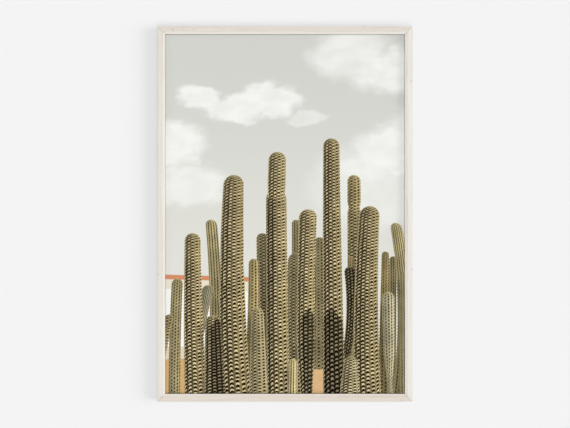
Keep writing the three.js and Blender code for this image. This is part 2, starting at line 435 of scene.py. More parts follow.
@dataclass(frozen=True)
class ClearAcrylic:
    """Clear low-reflection acrylic sheet, with a very faint gloss."""

    name: str = "Clear acrylic"
    ior: float = 1.12
    tint: Colour = (0.996, 0.998, 0.997, 1.0)

    def material(self) -> bpy.types.Material:
        """Builds the sheet as clear with a thin mirror by angle, so that no light bends or is lost in it."""
        material, kit, shader = new_material(self.name)
        tree = material.node_tree
        tree.nodes.remove(shader)
        clear = kit.node("BsdfTransparent")
        gloss = kit.node("BsdfGlossy")
        ripple = kit.long_noise(kit.object_place(), (9.0, 9.0, 9.0), 1.0)
        smear = kit.long_noise(kit.object_place(), (60.0, 60.0, 25.0), 3.0)
        kit.feed(gloss.inputs["Normal"], kit.bump(ripple, 0.3 * MM, 0.2))
        kit.feed(gloss.inputs["Roughness"], kit.smooth(smear, 0.3, 0.8, 0.03, 0.09))
        clear.inputs["Color"].default_value = self.tint
        fresnel = kit.node("Fresnel")
        fresnel.inputs["IOR"].default_value = self.ior
        front = 1.0 - kit.out(kit.node("NewGeometry"), "Backfacing")
        sheet = kit.node("MixShader")
        kit.feed(sheet.inputs[0], kit.out(fresnel) * front)
        tree.links.new(clear.outputs[0], sheet.inputs[1])
        tree.links.new(gloss.outputs[0], sheet.inputs[2])
        tree.links.new(sheet.outputs[0], tree.nodes["Material Output"].inputs["Surface"])
        return material


@dataclass(frozen=True)
class PressedBoard:
    """A board or paper of pressed fibres: hardboard, foam board's facing, plain paper or felt."""

    name: str
    pale: Colour
    dark: Colour
    speck: Colour
    fineness: float
    roughness: float
    relief: float
    sheen: float = 0.0

    def material(self, effects: SurfaceEffects) -> bpy.types.Material:
        """Builds the finish from fibres, specks and a broad mottle."""
        material, kit, shader = new_material(self.name)
        marks = kit.group(effects.fibres, {"Place": kit.object_place(), "Fineness": self.fineness})
        fibred = kit.mix(kit.smooth(marks["Fibres"], 0.4, 0.75), self.dark, self.pale)
        mottled = kit.mix(kit.smooth(marks["Mottle"], 0.35, 0.7) * 0.35, fibred, self.dark)
        spread = 0.06
        kit.fill(shader, {
            "Base Color": kit.mix(marks["Specks"] * 0.6, mottled, self.speck),
            "Roughness": kit.smooth(
                marks["Fibres"], 0.3, 0.8, self.roughness + spread, self.roughness - spread
            ),
            "Sheen Weight": self.sheen,
            "Normal": kit.bump(marks["Fibres"], self.relief, 0.6),
        })
        return material


@dataclass(frozen=True)
class PlatedMetal:
    """Zinc-plated or plain steel with fine scratches and duller smudges."""

    name: str
    bright: Colour
    dull: Colour
    roughness: float
    scratch_depth: float = 0.02 * MM

    def material(self, effects: SurfaceEffects) -> bpy.types.Material:
        """Builds the finish from the handling marks."""
        material, kit, shader = new_material(self.name)
        marks = kit.group(effects.handling, {"Place": kit.object_place()})
        smudged = kit.mix(marks["Smudges"] * 0.7, self.bright, self.dull)
        kit.fill(shader, {
            "Base Color": kit.mix(marks["Scratches"] * 0.25, smudged, self.bright),
            "Metallic": 1.0,
            "Roughness": marks["Smudges"] * 0.16 + self.roughness - marks["Scratches"] * 0.08,
            "Normal": kit.bump(marks["Scratches"], self.scratch_depth, 0.3),
        })
        return material


# --- The picture on the print, in picture millimetres: X from its left edge, height from its bottom edge ---
class Skin(Enum):
    """How a column's skin is drawn: how strongly its spine cushions stand out against dark hollows."""

    BOLD = 1.0
    MIDDLING = 0.74
    FINE = 0.46
    SMOOTH = 0.2


OLIVE = ink(206, 184, 124)
PALE_OLIVE = ink(206, 192, 142)
GREY_OLIVE = ink(196, 190, 158)
DEEP_OLIVE = ink(124, 110, 72)
DRY_OLIVE = ink(194, 168, 120)


@dataclass(frozen=True)
class Column:
    """One cactus stem of the picture, drawn over those before it."""

    foot: Point2
    apex: Point2
    foot_half: float
    apex_half: float
    skin: Skin = Skin.BOLD
    ribs: float = 5.0
    bow: float = 0.0
    waist: tuple[float, float, float] = (0.0, 0.0, 20.0)
    tint: Colour = OLIVE
    light: float = 1.0
    dusk: tuple[float, float, float] = (0.0, 1.0, 0.0)
    cast: float = 0.32

    def feeds(self) -> dict[str, Feed]:
        """The column as the inputs of the column group."""
        return {
            "Foot": (*self.foot, 0.0),
            "Apex": (*self.apex, 0.0),
            "Bow": self.bow,
            "Foot Half": self.foot_half,
            "Apex Half": self.apex_half,
            "Waist": self.waist,
            "Own Build": (self.ribs, self.skin.value, self.light),
            "Own Tint": self.tint,
            "Dusk": self.dusk,
            "Cast": self.cast,
        }


# From the back of the clump to its front. A waist is its height, the share it pulls in and its reach.
# Dusk is a shadow on the stem's lower part: the height it reaches, the light left there, and which side.
COLUMNS: tuple[Column, ...] = (
    Column((330, 150), (328, 436), 12, 11, Skin.SMOOTH, 4, tint=PALE_OLIVE),
    Column((476, 150), (473, 548), 19, 16.5, Skin.MIDDLING, 5, waist=(466, 0.16, 9)),
    Column((236, -20), (243, 402), 20, 15, Skin.MIDDLING, 5, bow=5, waist=(262, 0.12, 9), tint=PALE_OLIVE),
    Column((566, -20), (571, 344), 12, 9, Skin.SMOOTH, 4, tint=PALE_OLIVE, light=0.9),
    Column((548, -20), (552, 356), 16, 9, Skin.SMOOTH, 4, tint=OLIVE, light=0.8),
    Column((590, -20), (577, 428), 24, 14, Skin.SMOOTH, 6.5, bow=18, waist=(337, 0.1, 14), tint=PALE_OLIVE),
    Column((598, -20), (596, 306), 12, 8, Skin.SMOOTH, 4, tint=PALE_OLIVE, light=0.92),
    Column((468, -20), (464, 344), 9, 7, Skin.SMOOTH, 3, tint=DRY_OLIVE),
    Column((384, 190), (385, 262), 6, 6, Skin.MIDDLING, 2, tint=OLIVE, light=0.5),
    Column((462, -20), (470, 226), 9, 8, Skin.SMOOTH, 3, tint=PALE_OLIVE, light=1.05),
    Column((22, -20), (30, 288), 15, 14, Skin.FINE, 5, bow=-2, tint=PALE_OLIVE),
    Column((122, -20), (114, 436), 17, 14.5, Skin.SMOOTH, 5, bow=9, waist=(236, 0.16, 12), tint=PALE_OLIVE,
           dusk=(190, 0.45, 0.0)),
    Column((390, 60), (387, 392), 18, 12.5, Skin.FINE, 4, tint=PALE_OLIVE),
    Column((332, -20), (327, 352), 27, 19, Skin.MIDDLING, 6.5, bow=-4, waist=(269, 0.1, 10), tint=PALE_OLIVE),
    Column((216, 30), (222, 338), 18, 13, Skin.FINE, 4, bow=2),
    Column((64, -20), (108, 272), 8, 15, Skin.SMOOTH, 7, bow=-5, tint=GREY_OLIVE, light=0.8),
    Column((354, -20), (358, 462), 22, 22.5, Skin.BOLD, 6, bow=-4, waist=(0, 0.3, 70),
           dusk=(215, 0.3, 0.35)),
    Column((440, 40), (463, 318), 9, 16, Skin.MIDDLING, 5, bow=14, tint=DEEP_OLIVE, light=0.45),
    Column((76, -20), (68, 402), 28, 19.5, Skin.BOLD, 6, bow=-2),
    Column((178, -20), (172, 548), 39, 25, Skin.BOLD, 7.5, bow=-8, waist=(330, 0.04, 30), light=0.94),
    Column((284, -20), (278, 512), 28.5, 25.5, Skin.BOLD, 7, bow=-1),
    Column((278, 490), (281, 606), 21, 22, Skin.BOLD, 7, waist=(532, -0.05, 30)),
    Column((424, -20), (416, 640), 28, 20, Skin.BOLD, 7, bow=-1, light=0.91, dusk=(215, 0.3, -0.1)),
    Column((508, -20), (513, 470), 35, 25, Skin.BOLD, 8, bow=-7, light=0.9),
    Column((234, -20), (231, 214), 24, 15, Skin.MIDDLING, 5, tint=PALE_OLIVE),
    Column((124, -20), (119, 196), 28, 19, Skin.BOLD, 6, light=0.85, dusk=(193, 0.25, 0.55)),
    Column((564, -20), (559, 254), 12, 16.5, Skin.FINE, 5, waist=(20, 0.5, 50), tint=GREY_OLIVE, light=1.1),
    Column((318, -20), (320, 86), 13, 11, Skin.SMOOTH, 4, tint=PALE_OLIVE, light=1.1),
    Column((462, -40), (465, 94), 30, 15, Skin.BOLD, 6, tint=PALE_OLIVE),
    Column((-36, -20), (10, 198), 12, 12, Skin.MIDDLING, 4, tint=OLIVE, light=0.85),
)


@dataclass(frozen=True)
class Puff:
    """One soft lobe of a cloud: its centre, its half width and half height, and how dense it is."""

    centre: Point2
    half: Point2
    dense: float = 1.0


CLOUDS: tuple[Puff, ...] = (
    Puff((88, 748), (70, 40)),
    Puff((170, 716), (104, 46)),
    Puff((262, 738), (92, 52)),
    Puff((556, 806), (112, 74), 0.9),
    Puff((462, 850), (118, 84), 0.8),
    Puff((506, 566), (96, 52), 0.85),
    Puff((20, 622), (96, 70)),
    Puff((566, 606), (118, 84)),
    Puff((640, 648), (110, 92), 0.86),
    Puff((536, 520), (210, 130), 0.62),
    Puff((56, 520), (130, 70), 0.8),
    Puff((352, 690), (60, 22), 0.55),
)


@dataclass(frozen=True)
class Picture:
    """Draws the print's picture: a hazy sky, a low building, bare ground and a clump of columnar cacti."""

    sheet_margin: float = 5.0
    sky_high: Colour = ink(211, 212, 206)
    sky_low: Colour = ink(227, 226, 219)
    cloud: Colour = ink(247, 247, 243)
    cream: Colour = ink(240, 222, 176)
    fringe: Colour = ink(220, 202, 152)
    hollow: Colour = ink(34, 18, 6)
    shade_line: Colour = ink(72, 56, 28)
    crown: Colour = ink(210, 202, 138)
    shadow_reach: float = 26.0
    row_rate: float = 0.138
    row_slowing: float = 0.000042
    ripple_pitch: float = 7.6
    ripple_height: float = 0.5
    cloud_drift: Point2 = (90.0, 70.0)
    paper_fineness: float = 2200.0

    def column_group(self) -> bpy.types.NodeTree:
        """One column laid over the picture so far.

        Its outline follows a bowed centre line with a waist and a round top. Inside it, the group gives the
        longitude round the stem, the distance along it from the apex and the crown; outside, what came in,
        shaded where this column's shadow falls to its left.
        """
        group = ShaderGroup(
            "Cactus column",
            {
                "Place": (0.0, 0.0, 0.0), "Ripple": 0.0,
                "On Stem": (0.0, 0.0, 0.0), "Build": (0.0, 0.0, 1.0), "Tint": OLIVE,
                "Foot": (0.0, 0.0, 0.0), "Apex": (0.0, 100.0, 0.0), "Bow": 0.0,
                "Foot Half": 20.0, "Apex Half": 15.0, "Waist": (0.0, 0.0, 20.0),
                "Own Build": (5.0, 1.0, 1.0), "Own Tint": OLIVE, "Dusk": (0.0, 1.0, 0.0), "Cast": 0.5,
            },
            {"On Stem": Kind.PLACE, "Build": Kind.PLACE, "Tint": Kind.COLOUR},
        )
        kit, feeds = group.kit, group.inputs
        x, height, _ = kit.split(feeds["Place"])
        foot_x, foot_height, _ = kit.split(feeds["Foot"])
        apex_x, apex_height, _ = kit.split(feeds["Apex"])
        rise = (height - foot_height) / (apex_height - foot_height)
        centre = foot_x + (apex_x - foot_x) * rise + feeds["Bow"] * 4.0 * rise * (1.0 - rise)
        waist_height, waist_share, waist_reach = kit.split(feeds["Waist"])
        off_waist = (height - waist_height) / waist_reach
        pinch = waist_share * kit.math("EXPONENT", off_waist * off_waist * -1.0)
        straight = feeds["Foot Half"] + (feeds["Apex Half"] - feeds["Foot Half"]) * rise
        half = straight * (1.0 - pinch) + feeds["Ripple"]
        across = (x - centre) / half
        below = apex_height - height
        crown = kit.math("MAXIMUM", 1.0 - below / half, 0.0)
        along = below + half * (kit.math("ARCCOSINE", crown) - 1.0 + crown)
        girth = kit.math("SQRT", kit.math("MAXIMUM", 1.0 - crown * crown, 0.0001))
        inside = (abs(across) < girth) * (below > 0.0) * (rise > 0.0)
        turned = kit.math("MINIMUM", kit.math("MAXIMUM", across / girth, -1.0), 1.0)
        longitude = kit.math("ARCSINE", turned) / math.pi + turned * 0.5

        # The shadow that this column drops on whatever stands behind it, to its left.
        beside = (across + 1.0) * half * -1.0
        shadow = kit.smooth(beside, 0.0, self.shadow_reach, 1.0, 0.0) * (across < 0.0)
        shadow = shadow * kit.smooth(below, 4.0, 40.0)
        ribs, beads, light = kit.split(feeds["Build"])
        behind = kit.join(ribs, beads, light * (1.0 - shadow * feeds["Cast"]))

        # Dusk on its own lower part, from one side.
        own_ribs, own_beads, own_light = kit.split(feeds["Own Build"])
        dusk_height, dusk_light, dusk_side = kit.split(feeds["Dusk"])
        edge = dusk_height - abs(turned - dusk_side) * 30.0
        dusk = kit.smooth(height, edge - 5.0, edge + 3.0, 1.0, 0.0)
        dusk = dusk * kit.smooth(abs(turned - dusk_side - 0.1), 0.72, 1.1, 1.0, 0.25)
        lit = own_light * (1.0 - dusk * (1.0 - dusk_light))
        own_build = kit.join(own_ribs, own_beads, lit)
        return group.finish(
            {
                "On Stem": kit.mix_places(inside, feeds["On Stem"], kit.join(longitude, along, crown)),
                "Build": kit.mix_places(inside, behind, own_build),
                "Tint": kit.mix(inside, feeds["Tint"], feeds["Own Tint"]),
            }
        )

    def skin_group(self) -> bpy.types.NodeTree:
        """The skin of whatever column is in front: ribs, rows of spine cushions, dark hollows and light."""
        group = ShaderGroup(
            "Cactus skin",
            {"On Stem": (0.0, 0.0, 0.0), "Build": (0.0, 0.0, 1.0), "Tint": OLIVE, "Place": (0.0, 0.0, 0.0)},
            {"Colour": Kind.COLOUR, "Drawn": Kind.VALUE},
        )
        kit, feeds = group.kit, group.inputs
        longitude, along, crown = kit.split(feeds["On Stem"])
        ribs, beads, light = kit.split(feeds["Build"])
        jitter = kit.noise(feeds["Place"], 0.05, 2.0) - 0.5
        phase = (longitude * 0.5 + 0.5) * ribs * (1.12 - beads * 0.3) + jitter * 0.25
        cell = kit.math("FRACT", phase) - 0.5
        rows = along * (self.row_rate - along * self.row_slowing) + jitter * 0.8
        arch = longitude * longitude * 0.5 + cell * cell * 1.7 - cell * abs(longitude) * 1.1
        stagger = kit.math("FLOOR", phase) * 0.5
        wave = kit.math("SINE", (rows - arch + stagger) * (2.0 * math.pi))

        # Down each rib, pale cushions of spines stand over dark hollows; the skin between the ribs is lit
        # from the right and falls into shade on the left.
        beads = beads * kit.smooth(along, 10.0, 120.0, 0.88, 1.0)
        valley = kit.mix(kit.smooth(crown, 0.3, 1.0) * 0.6, feeds["Tint"], self.crown)
        patchy = kit.smooth(kit.noise(feeds["Place"], 0.025, 2.0), 0.3, 0.7, 0.84, 1.12)
        shaded, sunlit = 0.8 - beads * 0.7, 1.3 - beads * 0.6
        valley_light = light * light * kit.smooth(longitude, -0.45, 0.65, shaded, sunlit) * patchy
        valley_lit = kit.scaled(valley, valley_light)
        rib_light = (light * 0.84 + 0.16) * kit.smooth(longitude, -1.0, 0.2, 0.66, 0.97) * patchy
        cushion = kit.smooth(wave, -0.04, 0.5) * (beads * 0.82 + 0.12)
        rib = kit.mix(cushion, kit.mix(beads, self.shade_line, self.hollow), self.cream)
        rib_lit = kit.scaled(rib, rib_light)
        rib_half = beads * 0.11 + 0.2
        on_rib = kit.smooth(abs(cell), rib_half - 0.06, rib_half + 0.06, 1.0, 0.0)
        skin = kit.mix(on_rib * kit.smooth(crown, 0.8, 1.0, 1.0, 0.25), valley_lit, rib_lit)

        # The sides and the round top end in a pale fringe of spines.
        rim = kit.math("MAXIMUM", kit.smooth(abs(longitude), 0.74, 1.0), kit.smooth(crown, 0.72, 1.0) * 0.8)
        fringe = rim * kit.smooth(wave, -0.5, 0.6, 0.25, 0.95)
        final = kit.mix(fringe * (light * 0.8 + 0.2), skin, self.fringe)
        return group.finish({"Colour": final, "Drawn": ribs > 0.5})

    def puff_group(self) -> bpy.types.NodeTree:
        """One lobe of cloud, added to the cloud so far where it is denser."""
        group = ShaderGroup(
            "Cloud lobe",
            {"Place": (0.0, 0.0, 0.0), "Cloud": 0.0, "Centre": (0.0, 0.0, 0.0), "Half": (50.0, 50.0, 1.0),
             "Dense": 1.0},
            {"Cloud": Kind.VALUE},
        )
        kit, feeds = group.kit, group.inputs
        off = kit.vector_math(
            "DIVIDE", kit.vector_math("SUBTRACT", feeds["Place"], feeds["Centre"]), feeds["Half"]
        )
        reach = kit.node("VectorMath", operation="LENGTH")
        kit.feed(reach.inputs[0], off)
        lobe = kit.smooth(kit.out(reach, "Value"), 0.55, 1.0, 1.0, 0.0) * feeds["Dense"]
        return group.finish({"Cloud": kit.math("MAXIMUM", feeds["Cloud"], lobe)})

    def backdrop(self, kit: NodeKit, place: Term) -> Term:
        """Sky, clouds, building and ground, in that order.

        Args:
            kit: the picture material's kit.
            place: picture millimetres.

        Returns:
            The colour of everything behind the cacti.
        """
        x, height, _ = kit.split(place)
        sky = kit.mix(kit.smooth(height, 900.0, 250.0), self.sky_high, self.sky_low)
        warp = kit.noise(kit.stretched(place, (0.016, 0.022, 1.0)), 1.0, 5.0, 0.6, "Color")
        across, up = self.cloud_drift
        push = kit.vector_math("MULTIPLY_ADD", warp, (across, up, 0.0), (-across / 2, -up / 2, 0.0))
        drifting = kit.vector_math("ADD", place, push)
        lobe = self.puff_group()
        cloud: Feed = 0.0
        for puff in CLOUDS:
            feeds = {"Place": drifting, "Cloud": cloud, "Centre": (*puff.centre, 0.0),
                     "Half": (*puff.half, 1.0), "Dense": puff.dense}
            cloud = kit.group(lobe, feeds)["Cloud"]
        billow = kit.smooth(kit.long_noise(place, (0.02, 0.03, 1.0), 3.0), 0.3, 0.7, 0.7, 1.0)
        clouded = kit.mix(cloud * billow, sky, self.cloud)
        built = self.building(kit, x, height, clouded)
        return self.ground(kit, x, height, built)

    def building(self, kit: NodeKit, x: Term, height: Term, behind: Term) -> Term:
        """A plain white building with a clay-tile edge along its flat roof, low on the left.

        Args:
            kit: the picture material's kit.
            x: picture millimetres from the left.
            height: picture millimetres from the bottom.
            behind: the colour behind the building.

        Returns:
            The colour with the building on it.
        """
        level, left, edge = height + x * 0.03, x < 330.0, 1.4
        bands: tuple[tuple[float, float, Colour], ...] = (
            (0.0, 292.0, ink(246, 245, 241)),
            (286.0, 298.0, ink(214, 142, 104)),
            (262.0, 286.0, ink(233, 225, 206)),
            (0.0, 118.0, ink(226, 212, 190)),
        )
        colour = behind
        for low, high, paint in bands:
            above = kit.smooth(level, low - edge, low + edge)
            under = kit.smooth(level, high - edge, high + edge, 1.0, 0.0)
            colour = kit.mix(above * under * left, colour, paint)
        return colour

    def ground(self, kit: NodeKit, x: Term, height: Term, behind: Term) -> Term:
        """Bare ochre ground along the foot of the picture."""
        drift = kit.noise(kit.join(x * 0.02, height * 0.05, 0.0), 1.0, 3.0)
        level = 82.0 + drift * 8.0
        earth = kit.mix(kit.smooth(x, 100.0, 500.0), ink(216, 172, 116), ink(220, 184, 138))
        earth = kit.mix(kit.smooth(drift, 0.35, 0.7) * 0.3, earth, ink(198, 150, 96))
        return kit.mix(kit.smooth(height, level - 1.5, level + 1.5, 1.0, 0.0), behind, earth)

    def material(self, effects: SurfaceEffects, sheet: Point2) -> bpy.types.Material:
        """Builds the printed face of the sheet.

        Args:
            effects: the shared effect groups.
            sheet: the sheet's width and height in metres, which its UV map covers from 0 to 1.

        Returns:
            The printed material.
        """
        material, kit, shader = new_material("Printed picture")
        uv = kit.out(kit.node("UVMap", uv_map="Sheet"))
        span = (sheet[0] / MM, sheet[1] / MM, 0.0)
        place = kit.vector_math("MULTIPLY_ADD", uv, span, (-self.sheet_margin, -self.sheet_margin, 0.0))
        _, height, _ = kit.split(place)
        ripple = kit.math("SINE", height * (2.0 * math.pi / self.ripple_pitch)) * self.ripple_height
        column = self.column_group()
        state: dict[str, Feed] = {"On Stem": (0.0, 0.0, 0.0), "Build": (0.0, 0.0, 1.0), "Tint": OLIVE}
        for stem in COLUMNS:
            state = kit.group(column, {"Place": place, "Ripple": ripple, **state, **stem.feeds()})
        skin = kit.group(self.skin_group(), {**state, "Place": place})
        scene = kit.mix(skin["Drawn"], self.backdrop(kit, place), skin["Colour"])
        fibres = kit.group(effects.fibres, {"Place": kit.object_place(), "Fineness": self.paper_fineness})
        grain = kit.smooth(fibres["Fibres"], 0.35, 0.8) * 0.06
        kit.fill(shader, {
            "Base Color": kit.mix(grain, scene, ink(196, 194, 186), "MULTIPLY"),
            "Roughness": kit.smooth(fibres["Fibres"], 0.3, 0.8, 0.78, 0.9),
            "Specular IOR Level": 0.06,
            "Normal": kit.bump(fibres["Fibres"], 0.02 * MM, 0.3),
        })
        return material


# --- Meshes ---
def rounded(corners: Sequence[tuple[float, float, float]], steps: int = 4) -> list[Point2]:
    """A closed outline with rounded corners.

    Args:
        corners: each corner's two coordinates and its radius; 0 keeps it sharp.
        steps: the number of segments in each rounding.

    Returns:
        The outline's points in order.
    """
    points: list[Point2] = []
    for index, (u, t, radius) in enumerate(corners):
        corner = Vector((u, t))
        if not radius:
            points.append((u, t))
            continue
        before = (Vector(corners[index - 1][:2]) - corner).normalized() * radius
        after = (Vector(corners[(index + 1) % len(corners)][:2]) - corner).normalized() * radius
        for step in range(steps + 1):
            share = step / steps
            bend = corner + before * (1 - share) ** 2 + after * share**2
            points.append((bend.x, bend.y))
    return points


def resampled(outline: Sequence[Point2], longest: float) -> list[Point2]:
    """A closed outline with its long edges divided, so that none is longer than asked."""
    points: list[Point2] = []
    for index, start in enumerate(outline):
        end = outline[(index + 1) % len(outline)]
        parts = max(1, math.ceil(math.dist(start, end) / longest))
        for part in range(parts):
            share = part / parts
            points.append((start[0] + (end[0] - start[0]) * share, start[1] + (end[1] - start[1]) * share))
    return points


def lofted(sections: Iterable[Sequence[Vector]]) -> bmesh.types.BMesh:
    """A closed body through rings of points, with its first and last ring filled.

    Args:
        sections: rings with the same number of points.

    Returns:
        The new geometry.
    """
    built = bmesh.new()
    rings = [[built.verts.new(point) for point in section] for section in sections]
    count = len(rings[0])
    for first, second in zip(rings, rings[1:]):
        for k in range(count):
            following = (k + 1) % count
            built.faces.new((first[k], first[following], second[following], second[k]))
    built.faces.new(list(reversed(rings[0])))
    built.faces.new(rings[-1])
    bmesh.ops.recalc_face_normals(built, faces=built.faces)
    return built


def slab(low: Vector, high: Vector, edge: float, cells: tuple[int, int, int]) -> bmesh.types.BMesh:
    """A flat board between two corners, with eased edges and its faces divided.

    Args:
        low: its lowest corner.
        high: its highest corner.
        edge: the width of the easing.
        cells: how many cells each way, for a shape that is bent afterwards.

    Returns:
        The new geometry.
    """
    built = bmesh.new()
    size = high - low
    place = Matrix.Translation((low + high) / 2) @ Matrix.Diagonal((*size, 1.0))
    bmesh.ops.create_cube(built, size=1.0, matrix=place)
    bmesh.ops.bevel(built, geom=built.edges[:], offset=edge, segments=2, profile=0.5, affect="EDGES")
    for axis in range(3):
        for cut in range(1, cells[axis]):
            point = low.copy()
            point[axis] += size[axis] * cut / cells[axis]
            normal = Vector((axis == 0, axis == 1, axis == 2))
            everything = built.verts[:] + built.edges[:] + built.faces[:]
            bmesh.ops.bisect_plane(built, geom=everything, plane_co=point, plane_no=normal)
    return built


@dataclass(frozen=True)
class Piece:
    """What a finished piece is called, what it rides on, what finish it takes and what it stands for."""

    name: str
    body: str
    slot: str
    stands_for: tuple[str, ...]

    def enter(self, shape: bpy.types.Object) -> bpy.types.Object:
        """Rides the finished object on its body, hides the nodes that it stands for and logs it."""
        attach(shape, self.body)
        if self.stands_for:
            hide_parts(*self.stands_for)
        LOG.info("%s: %d faces on %s", self.name, len(shape.data.polygons), self.body)
        return shape

    def make(
        self,
        built: bmesh.types.BMesh,
        materials: Sequence[bpy.types.Material],
        sharp_above: float = 40.0,
    ) -> bpy.types.Object:
        """Turns geometry into the piece's object and enters it.

        Args:
            built: the geometry, which is used up.
            materials: the object's materials in slot order.
            sharp_above: the angle in degrees above which an edge stays sharp.

        Returns:
            The object.
        """
        mesh = bpy.data.meshes.new(self.name)
        built.to_mesh(mesh)
        built.free()
        for material in materials:
            mesh.materials.append(material)
        mesh.shade_smooth()
        mesh.set_sharp_from_angle(angle=math.radians(sharp_above))
        shape = bpy.data.objects.new(self.name, mesh)
        bpy.context.collection.objects.link(shape)
        return self.enter(shape)


# --- The wooden frame ---
@dataclass(frozen=True)
class Side:
    """One rail: its node, its turn about Y from the bottom rail's place, its wood and its knocks."""

    node: str
    turn: float
    finish: LimedWood
    knocks: tuple[Point2, ...]


@dataclass
class Moulding:
    """The section of a rail: u runs inwards from its outer side, t forwards from its back."""

    flat: float = 13.4 * MM
    quirk: float = 0.5 * MM
    slope_fall: float = 1.6 * MM
    rebate: float = 6.0 * MM
    arris: float = 0.9 * MM
    longest: float = 2.2 * MM

    def outline(self, face: float, depth: float, rebate_depth: float) -> list[Point2]:
        """The section's points, with eased corners.

        Args:
            face: the rail's full width.
            depth: the rail's full depth.
            rebate_depth: how far the rebate goes in from the back.

        Returns:
            The points in order.
        """
        land = face - self.rebate
        fine = 0.35 * MM
        corners = (
            (0.0, 0.0, self.arris),
            (land, 0.0, fine),
            (land, rebate_depth, 0.0),
            (face, rebate_depth, fine),
            (face, depth - self.slope_fall, fine),
            (self.flat + self.quirk, depth - self.quirk, fine * 0.4),
            (self.flat, depth, fine * 0.6),
            (0.0, depth, self.arris),
        )
        return resampled(rounded(corners), self.longest)


@dataclass
class WoodenFrame:
    """The four mitred rails."""

    effects: SurfaceEffects
    moulding: Moulding = field(default_factory=Moulding)
    step: float = 3.0 * MM
    mitre_gap: float = 0.06 * MM
    waver: float = 0.09 * MM
    knock_radius: float = 1.7 * MM
    knock_depth: float = 0.5 * MM
    rub_reach: float = 1.6 * MM
    bare_reach: float = 13 * MM

    def sides(self) -> tuple[Side, ...]:
        """The four rails, each with its own cut of the wood; each rail's lime and wood tones are partly the
        wood's own variation and partly painted light and shade, lighter or darker by side.
        """
        return (
            Side("rail_bottom", 0.0,
                 LimedWood("Limed wood, bottom", Run.ACROSS, ink(232, 224, 213), ink(215, 203, 190), 3.1),
                 ((0.012, 0.8), (0.61, 0.2))),
            Side("rail_left", math.pi / 2,
                 LimedWood("Limed wood, left", Run.UPRIGHT, ink(235, 231, 222), ink(220, 213, 201), 7.4),
                 ((0.05, 0.1), (0.62, 0.0), (0.925, 0.9))),
            Side("rail_top", math.pi,
                 LimedWood("Limed wood, top", Run.ACROSS, ink(229, 223, 213), ink(214, 203, 191), 12.9),
                 ((0.121, 0.0), (0.57, 0.05), (0.6, 0.7))),
            Side("rail_right", -math.pi / 2,
                 LimedWood("Limed wood, right", Run.UPRIGHT, ink(241, 238, 231), ink(226, 219, 208), 21.6),
                 ((0.33, 0.0), (0.8, 0.3))),
        )

    def build(self) -> None:
        """Builds the four rails."""
        low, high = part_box("rail_bottom")
        glass_low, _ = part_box("glazing")
        centre = (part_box("rail_left")[0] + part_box("rail_right")[1]) / 2
        depth = high.y - low.y
        outline = self.moulding.outline(high.z - low.z, depth, high.y - glass_low.y + 0.3 * MM)
        for side in self.sides():
            self.rail(side, outline, centre, high.y)

    def rail(self, side: Side, outline: Sequence[Point2], centre: Vector, back: float) -> None:
        """Builds one rail along X at the bottom and turns it into place.

        Args:
            side: which rail.
            outline: its section.
            centre: the middle of the frame.
            back: the plane of its back.
        """
        low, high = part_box(side.node)
        axis = 2 if side.finish.run is Run.ACROSS else 0
        outer = low if side.turn in (0.0, math.pi / 2) else high
        reach = abs(outer[axis] - centre[axis])
        length = (high - low)[2 - axis] + 2 * self.mitre_gap
        count = round(length / self.step)
        sections = []
        for k in range(count + 1):
            share = 2 * k / count - 1
            section = []
            for u, t in outline:
                x = share * (length / 2 - u - self.mitre_gap)
                section.append(Vector((x, back - t, u - reach)))
            sections.append(section)
        built = lofted(sections)
        self.weather(built, side, length, reach, back)
        turned = Matrix.Translation(Vector((centre.x, 0.0, centre.z))) @ Matrix.Rotation(side.turn, 4, "Y")
        bmesh.ops.transform(built, matrix=turned, verts=built.verts)
        piece = Piece(side.node.replace("rail", "limed_rail"), FRAME_BODY, "limed_wood", (side.node,))
        shape = piece.make(built, [side.finish.material(self.effects)], 50.0)
        shape.visible_diffuse = False

    def weather(
        self, built: bmesh.types.BMesh, side: Side, length: float, reach: float, back: float
    ) -> None:
        """Gives a rail its slight waver and its knocks, and the Wear, Knock, Back and Slope numbers.

        Args:
            built: the rail along X.
            side: which rail.
            length: its length.
            reach: the distance of its outer side from the frame's centre.
            back: the plane of its back.
        """
        names = ("Wear", "Knock", "Back", "Slope")
        wear, knock, bare, slope = (built.verts.layers.float.new(name) for name in names)
        face, depth = self.moulding.flat, back - min(v.co.y for v in built.verts)
        built.normal_update()
        for vert in built.verts:
            u, t = vert.co.z + reach, back - vert.co.y
            place = Vector((vert.co.x * 9.0 + side.finish.seed, u * 60.0, t * 60.0))
            vert.co -= vert.normal * self.waver * (0.5 + 0.5 * noise.noise(place))
            corner = min(math.hypot(u, depth - t), math.hypot(u - face, depth - t), math.hypot(u, t))
            rubbed = max(0.0, 1.0 - corner / self.rub_reach)
            vert[wear] = rubbed * (0.5 + noise.noise(Vector((vert.co.x * 40.0, side.finish.seed, u * 90.0))))
            # Slope marks the inner slope, which the finish paints lighter as a painted highlight.
            vert[slope] = 1.0 if u > self.moulding.flat + 0.3 * MM and t > depth / 2 else 0.0
            behind = min(1.0, max(0.0, 1.0 - (t - 0.3 * MM) / (0.6 * MM)))
            flank = 0.75 * max(0.0, 1.0 - t / self.bare_reach) if u < self.moulding.arris else 0.0
            vert[bare] = max(behind, flank)
            for along, across in side.knocks:
                x = along - length / 2
                gap = Vector((vert.co.x - x, vert.co.z + reach - across * face, vert.co.y - (back - depth)))
                hit = max(0.0, 1.0 - gap.length / self.knock_radius)
                vert.co -= vert.normal * self.knock_depth * hit
                vert[knock] = max(vert[knock], min(1.0, hit * 1.4))


# --- Glazing, print and boards ---
@dataclass
class Glazing:
    """The clear sheet in front of the print."""

    edge: float = 0.25 * MM
    finish: ClearAcrylic = ClearAcrylic()

    def build(self) -> None:
        """Builds the sheet with polished, eased edges."""
        low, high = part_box("glazing")
        Piece("acrylic_sheet", FRAME_BODY, "acrylic", ("glazing",)).make(
            slab(low, high, self.edge, (4, 1, 6)), [self.finish.material()], 30.0
        )


